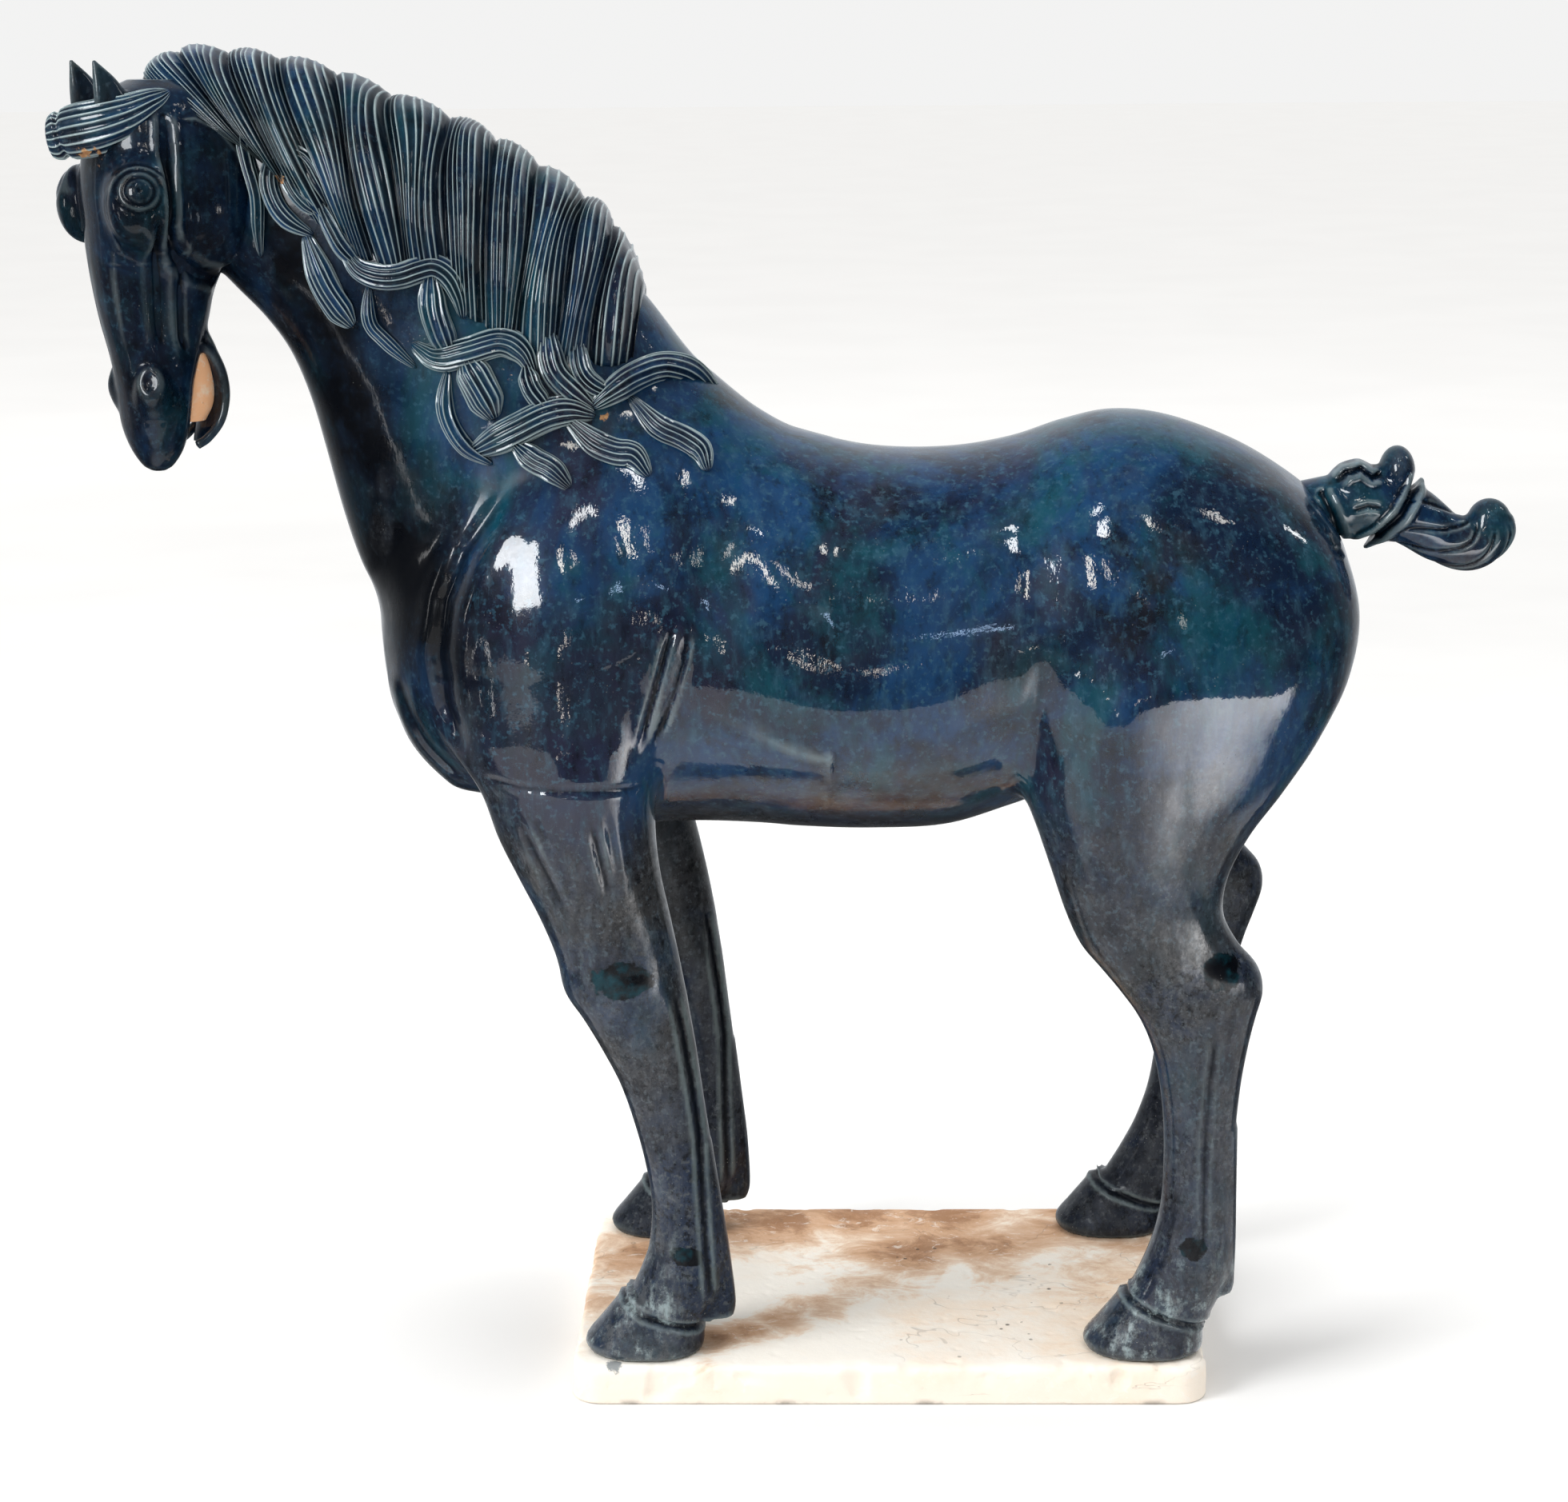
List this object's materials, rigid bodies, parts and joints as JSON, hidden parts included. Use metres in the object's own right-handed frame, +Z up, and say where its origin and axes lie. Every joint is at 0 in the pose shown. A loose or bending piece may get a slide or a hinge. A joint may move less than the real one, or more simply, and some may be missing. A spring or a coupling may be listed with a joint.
{
  "type": "pottery tomb horse",
  "caption": "Standing glazed pottery horse on a flat unglazed plinth, neck arched, head turned to its near side, combed mane and tied tail.",
  "frame": {"origin": "centre of the flat underside of the plinth", "axes": "+Z up, -X the way the horse's chest faces, -Y the near side towards which the head is turned"},
  "size_m": [0.7436, 0.224, 0.688],
  "materials": {
    "glaze": "glossy dark blue lead glaze, mottled, paler where it breaks over the combed ridges and nearly black where it pools",
    "bare_clay": "matt unglazed cream clay, stained orange-brown in places"
  },
  "bodies": {
    "root": {"horse": "glaze", "plinth": "bare_clay"}
  },
  "joints": []
}
